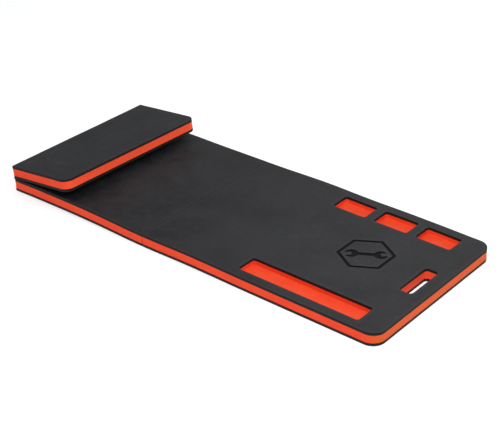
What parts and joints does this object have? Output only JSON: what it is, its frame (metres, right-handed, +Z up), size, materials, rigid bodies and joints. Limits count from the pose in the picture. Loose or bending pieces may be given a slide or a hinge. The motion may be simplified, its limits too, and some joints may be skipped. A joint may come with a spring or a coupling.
{
  "type": "folding foam creeper mat",
  "caption": "Folding closed-cell foam creeper mat with a fold-over head rest, recessed tool wells along both sides and a carrying hand slot.",
  "frame": {"origin": "on the floor, at the middle of the resting mat's length and width", "axes": "+X along the mat towards the hand slot, +Y towards the side with the three small wells, +Z up"},
  "size_m": [1.0384, 0.43, 0.0853],
  "materials": {
    "black_foam": "matte",
    "orange_foam": "matte"
  },
  "bodies": {
    "front_panel": {"front_top_skin": "black_foam", "front_core": "orange_foam", "front_bottom_skin": "black_foam", "middle_fold_web": "black_foam"},
    "middle_panel": {"middle_top_skin": "black_foam", "middle_core": "orange_foam", "middle_bottom_skin": "black_foam", "head_fold_web": "black_foam"},
    "head_panel": {"head_top_skin": "black_foam", "head_core": "orange_foam", "head_bottom_skin": "black_foam"}
  },
  "joints": [
    {"name": "middle_fold", "type": "hinge", "parent": "front_panel", "child": "middle_panel", "pos_m": [-0.10278, 0, 0.03215], "axis": [0, 1, 0], "range_deg": [0, 165], "deforming": ["middle_fold_web"]},
    {"name": "head_fold", "type": "hinge", "parent": "middle_panel", "child": "head_panel", "pos_m": [-0.51578, 0, 0.03215], "axis": [0, 1, 0], "range_deg": [-173.6, 6], "stiffness_Nm_per_rad": 0.1, "springref_deg": -136.08, "deforming": ["head_fold_web"]}
  ]
}
